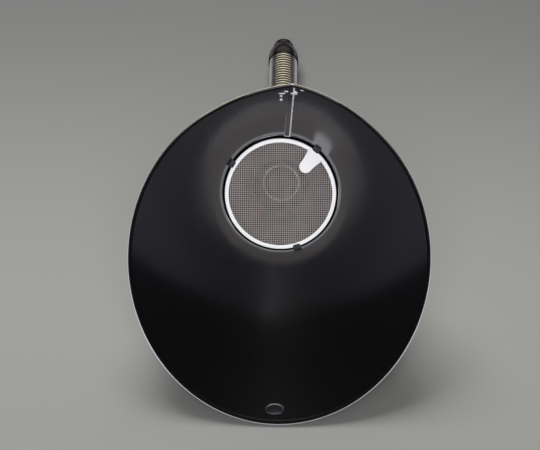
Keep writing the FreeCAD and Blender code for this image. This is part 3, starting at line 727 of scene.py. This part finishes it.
def build_socket():
    """Tube turned about the axis, with a shoulder that stops the spout and a bead near its open end."""
    low = -CUP_DEPTH - SOCKET_LENGTH
    swell = np.linspace(-1.0, 1.0, 13)
    bead = np.stack([SOCKET_OUTER + 0.8 * (1.0 - swell ** 2), low + 4.0 + 1.6 * swell], axis=-1)
    rest = [
        (SOCKET_OUTER, -CUP_DEPTH), (SOCKET_INNER, -CUP_DEPTH), (SOCKET_INNER, -CUP_DEPTH - 1.5),
        (SPOUT_BORE, -CUP_DEPTH - 1.5), (SPOUT_BORE, -CUP_DEPTH - SHOULDER),
        (SOCKET_INNER, -CUP_DEPTH - SHOULDER), (SOCKET_INNER, low), (SOCKET_OUTER, low),
    ]
    profile = np.concatenate([bead, eased(rest, 0.2, 4)])
    # Painted shade inside the bore, from just under the cup's floor down.
    inside = (profile[:, 0] < SOCKET_INNER + 0.05) & (profile[:, 1] < -CUP_DEPTH - 0.4)
    make_piece("socket_tube", [(lay(turned(profile, 112)), quads(len(profile), 112))], SLEEVE,
               "outlet_socket", marks_of(np.repeat(~inside, 112)))


def spout_line(distance):
    """Centre line from the socket's shoulder: straight, an arc through the tilt, straight."""
    start = CUP_DEPTH + SHOULDER
    straight = SOCKET_LENGTH + LEAD - SHOULDER
    turned_by = np.clip((distance - straight) / BEND, 0.0, TILT)
    rest = np.maximum(distance - straight - BEND * TILT, 0.0)
    down = start + np.minimum(distance, straight) + BEND * np.sin(turned_by) + rest * np.cos(turned_by)
    side = BEND * (1.0 - np.cos(turned_by)) + rest * np.sin(turned_by)
    zero = 0.0 * down
    place = np.stack([zero, side, -down], axis=-1)
    ahead = np.stack([zero, np.sin(turned_by), -np.cos(turned_by)], axis=-1)
    normal = np.stack([zero, np.cos(turned_by), np.sin(turned_by)], axis=-1)
    return place, ahead, normal


def build_spout():
    """Ribbed tube: r = root + depth (1 - u^2)^0.4, u running from -1 to 1 over each rib's foot."""
    length = SOCKET_LENGTH + LEAD - SHOULDER + BEND * TILT + RUN
    count = int(length / RIB_PITCH)
    margin = (length - (count - 1) * RIB_PITCH) / 2.0
    foot = 0.41 * RIB_PITCH
    u = np.sin(np.linspace(-np.pi / 2.0, np.pi / 2.0, 9))
    ridge = np.sqrt(np.clip(1.0 - u ** 2, 0.0, 1.0)) ** 0.8
    centres = margin + RIB_PITCH * np.arange(count)
    distance = (centres[:, None] + foot * u).ravel()
    height = np.tile(ridge, count)
    root = SPOUT_RADIUS - SPOUT_GROOVE
    ends = np.array([0.0, length])
    distance = np.concatenate([ends[:1], distance, ends[1:]])
    height = np.concatenate([[0.0], height, [0.0]])
    inside = np.linspace(length, 0.0, 60)
    distance = np.concatenate([distance, inside])
    radius = np.concatenate([root + SPOUT_GROOVE * height, np.full(60, SPOUT_BORE)])
    height = np.concatenate([height, np.zeros(60)])
    place, _, normal = spout_line(distance)
    sides = 64
    angle = np.linspace(0.0, 2.0 * np.pi, sides, endpoint=False).reshape(1, -1, 1)
    across = np.array([1.0, 0.0, 0.0])
    grid = place[:, None] + radius[:, None, None] * (np.cos(angle) * across + np.sin(angle) * normal[:, None])
    # Painted shade in the grooves between the ribs, fading out towards each rib's crest.
    unshaded = np.clip((height - 0.70) / 0.22, 0.0, 1.0)
    make_piece("ribbed_spout", [(lay(grid), quads(len(distance), sides))], RIBBED,
               "spout_hose", marks_of(np.repeat(unshaded, sides)))
    return length


def build_nose(length):
    """Nose piece turned about the spout's line, its flank bowed as a circle's arc."""
    end = NOSE_LENGTH - NOSE_GRIP
    neck = end - NOSE_TAIL
    start = np.array([NOSE_RADIUS, NOSE_SKIRT - NOSE_GRIP])
    stop = np.array([NOSE_RING, neck - 0.5])
    chord = stop - start
    size = float(np.hypot(*chord))
    out = np.array([chord[1], -chord[0]]) / size
    sag = math.sqrt(NOSE_BOW ** 2 - size ** 2 / 4.0)
    centre = (start + stop) / 2.0 - out * sag
    sweep = math.asin(size / 2.0 / NOSE_BOW)
    t = np.linspace(-sweep, sweep, 25).reshape(-1, 1)
    flank = centre + NOSE_BOW * (np.cos(t) * out + np.sin(t) * chord / size)
    tail = eased([(NOSE_RING, neck), (NOSE_END, neck + 0.5), (NOSE_END, end), (NOSE_BORE, end),
                  (NOSE_BORE, neck), (SPOUT_BORE, 0.0), (SOCKET_INNER, 0.0), (SOCKET_INNER, -NOSE_GRIP),
                  (NOSE_RADIUS, -NOSE_GRIP)],
                 [0.25, 0.25, 0.5, 0.3, 0.3, 0.3, 0.1, 0.25, 0.3], 5)
    profile = np.concatenate([flank, tail])
    place, ahead, normal = spout_line(np.array([length]))
    angle = np.linspace(0.0, 2.0 * np.pi, 112, endpoint=False).reshape(1, -1, 1)
    across = np.array([1.0, 0.0, 0.0])
    ring = profile[:, :1, None] * (np.cos(angle) * across + np.sin(angle) * normal[0])
    grid = place[0] + ring + profile[:, 1:, None] * ahead[0]
    make_piece("nose_piece", [(lay(grid), quads(len(profile), 112))], NOSE_BLACK, "spout_tip")


rim_columns, hole_place = build_bowl()
build_bowl_trim(rim_columns, hole_place)
build_strainer()
build_mesh()
build_cup()
build_lip()
build_socket()
build_nose(build_spout())


# Table, light and camera


TABLE_REACH = 6.0
# TABLE_NEAR to TABLE_FAR is painted shade, darker away from the camera; SHADED is the colour of the painted
# shadows under the hanging hole and, for reflections, under the spout.
TABLE_NEAR = (0.139, 0.141, 0.134)
TABLE_FAR = (0.070, 0.070, 0.070)
TABLE_MIRRORED = (0.33, 0.33, 0.37)
SHADED = (0.02, 0.02, 0.024)
HOLE_PLACE = (-0.0015, -0.166)
CAMERA_LIFT = 9.1
CAMERA_YAW = 0.93
CAMERA_ASIDE = -6.1
CAMERA_DOWN = 18.0
CAMERA_BACK = 910.0
FOCAL_PIXELS = 1561.0
PICTURE_WIDTH = 540.0
SENSOR = 36.0


def smooth_share(tree, value, start, end):
    """0 where a value is at the start, 1 where it is at the end, and an S-curve between them."""
    share = node(tree, "ShaderNodeMapRange", interpolation_type="SMOOTHSTEP")
    share.inputs["From Min"].default_value = start
    share.inputs["From Max"].default_value = end
    tree.links.new(value, share.inputs["Value"])
    return share.outputs["Result"]


def blended(tree, share, *colours):
    """Two colours mixed by a share; each is a triple or another node's output."""
    mix = node(tree, "ShaderNodeMix", data_type="RGBA")
    tree.links.new(share, mix.inputs[0])
    for socket, colour in zip((6, 7), colours):
        if isinstance(colour, tuple):
            mix.inputs[socket].default_value = (*colour, 1.0)
        else:
            tree.links.new(colour, mix.inputs[socket])
    return mix.outputs[2]


def build_table():
    """Grey table with painted shade, darker away from the camera, and a painted shadow under the hanging
    hole.

    Mirrors see it paler, but for a painted shadow strip under the spout.
    """
    mesh = bpy.data.meshes.new("table")
    sides = ((-1, -1), (1, -1), (1, 1), (-1, 1))
    mesh.from_pydata([(TABLE_REACH * x, TABLE_REACH * y, 0.0) for x, y in sides], [], [(0, 1, 2, 3)])
    table = bpy.data.objects.new("table", mesh)
    bpy.context.scene.collection.objects.link(table)
    material = bpy.data.materials.new("table_grey")
    material.use_nodes = True
    tree = material.node_tree
    shader = tree.nodes["Principled BSDF"]
    shader.inputs["Roughness"].default_value = 0.8
    shader.inputs["Specular IOR Level"].default_value = 0.2
    place = node(tree, "ShaderNodeTexCoord")
    split = node(tree, "ShaderNodeSeparateXYZ")
    tree.links.new(place.outputs["Object"], split.inputs["Vector"])
    # Painted shade: the table darkens away from the camera.
    tone = blended(tree, smooth_share(tree, split.outputs["Y"], -0.12, 0.30), TABLE_NEAR, TABLE_FAR)
    # Painted shadow: a dark spot 8 to 12 mm round the point under the hanging hole.
    spot = node(tree, "ShaderNodeMapping")
    spot.inputs["Location"].default_value = (-HOLE_PLACE[0], -HOLE_PLACE[1], 0.0)
    tree.links.new(place.outputs["Object"], spot.inputs["Vector"])
    far = node(tree, "ShaderNodeVectorMath", operation="LENGTH")
    tree.links.new(spot.outputs["Vector"], far.inputs[0])
    under = blended(tree, smooth_share(tree, far.outputs["Value"], 0.008, 0.012), SHADED, tone)
    # Painted shadow for reflections: a dark strip under the spout, seen only by glossy rays.
    aside = node(tree, "ShaderNodeMath", operation="ABSOLUTE")
    tree.links.new(split.outputs["X"], aside.inputs[0])
    lit = node(tree, "ShaderNodeMath", operation="MAXIMUM")
    tree.links.new(smooth_share(tree, aside.outputs[0], 0.027, 0.034), lit.inputs[0])
    tree.links.new(smooth_share(tree, split.outputs["Y"], 0.05, 0.03), lit.inputs[1])
    mirrored = blended(tree, lit.outputs[0], SHADED, TABLE_MIRRORED)
    seen = node(tree, "ShaderNodeLightPath")
    tree.links.new(blended(tree, seen.outputs["Is Glossy Ray"], under, mirrored), shader.inputs["Base Color"])
    mesh.materials.append(material)


def sky_ramp(tree, height, stops):
    """Colour by the height of a direction, from pairs of height and colour."""
    bands = node(tree, "ShaderNodeValToRGB")
    marks = bands.color_ramp.elements
    marks[0].position = stops[0][0]
    marks[0].color = (*stops[0][1], 1.0)
    marks[1].position = stops[-1][0]
    marks[1].color = (*stops[-1][1], 1.0)
    for level, colour in stops[1:-1]:
        marks.new(level).color = (*colour, 1.0)
    tree.links.new(height, bands.inputs["Fac"])
    return bands.outputs["Color"]


SKY_SIDES = ((0.0, (0.008, 0.008, 0.009)), (0.93, (0.006, 0.006, 0.006)), (0.975, (0.60, 0.59, 0.57)))
SKY_BEHIND = (
    (0.33, (0.012, 0.012, 0.014)), (0.40, (0.90, 0.84, 0.68)), (0.70, (0.94, 0.89, 0.75)),
    (0.78, (0.005, 0.005, 0.006)),
)
SKY_FRONT = ((0.05, (0.035, 0.035, 0.036)), (0.30, (0.065, 0.065, 0.067)), (0.80, (0.15, 0.148, 0.155)))


def build_world():
    """Dark studio with a dim soft front and a warm band behind the nose."""
    world = bpy.data.worlds.new("studio")
    bpy.context.scene.world = world
    world.use_nodes = True
    tree = world.node_tree
    place = node(tree, "ShaderNodeTexCoord")
    split = node(tree, "ShaderNodeSeparateXYZ")
    tree.links.new(place.outputs["Generated"], split.inputs["Vector"])
    skies = (SKY_SIDES, SKY_BEHIND, SKY_FRONT)
    sides, behind, front = [sky_ramp(tree, split.outputs["Z"], sky) for sky in skies]
    colour = blended(tree, smooth_share(tree, split.outputs["Y"], 0.60, 0.74), sides, behind)
    colour = blended(tree, smooth_share(tree, split.outputs["Y"], -0.15, -0.5), colour, front)
    back = tree.nodes["Background"]
    back.inputs["Strength"].default_value = 2.0
    tree.links.new(colour, back.inputs["Color"])


def add_lamp(name, place, target, watts, colour):
    """Area lamp turned towards a point, and not itself mirrored in the metal."""
    light = bpy.data.lights.new(name, "AREA")
    light.shape = "RECTANGLE"
    light.size = 0.9
    light.size_y = 0.7
    light.energy = watts
    light.color = colour
    lamp = bpy.data.objects.new(name, light)
    lamp.visible_glossy = False
    bpy.context.scene.collection.objects.link(lamp)
    lamp.location = place
    lamp.rotation_euler = (Vector(target) - Vector(place)).to_track_quat("-Z", "Y").to_euler()


def build_camera():
    """Camera at the photograph's angle: a little above the funnel's axis, a little to the right."""
    view = TILT + math.radians(CAMERA_LIFT)
    forward = Vector((0.0, math.cos(view), -math.sin(view)))
    down = Vector((0.0, -math.sin(view), -math.cos(view)))
    right = Vector((1.0, 0.0, 0.0))
    centre = Vector(lay(np.array([0.0, STRAINER_SHIFT, 0.0])))
    away = (CAMERA_ASIDE * right + CAMERA_DOWN * down - CAMERA_BACK * forward) * 0.001
    turn = Matrix.Rotation(math.radians(CAMERA_YAW), 4, "Z")
    frame_of = Matrix((right, -down, -forward)).transposed().to_4x4()
    data = bpy.data.cameras.new("photo_camera")
    data.sensor_width = SENSOR
    data.lens = FOCAL_PIXELS / PICTURE_WIDTH * SENSOR
    data.clip_start = 0.05
    data.clip_end = 50.0
    camera = bpy.data.objects.new("photo_camera", data)
    bpy.context.scene.collection.objects.link(camera)
    camera.matrix_world = Matrix.Translation(centre) @ turn @ Matrix.Translation(away) @ frame_of
    bpy.context.scene.camera = camera


build_table()
build_world()
add_lamp("overhead", (-0.22, 0.70, 1.15), (0.0, -0.05, 0.0), 44.0, (1.0, 1.0, 1.0))
add_lamp("front", (0.0, -1.3, 1.0), (0.0, 0.0, 0.05), 24.0, (0.97, 0.98, 1.0))
build_camera()
bpy.context.scene.view_settings.view_transform = "Standard"
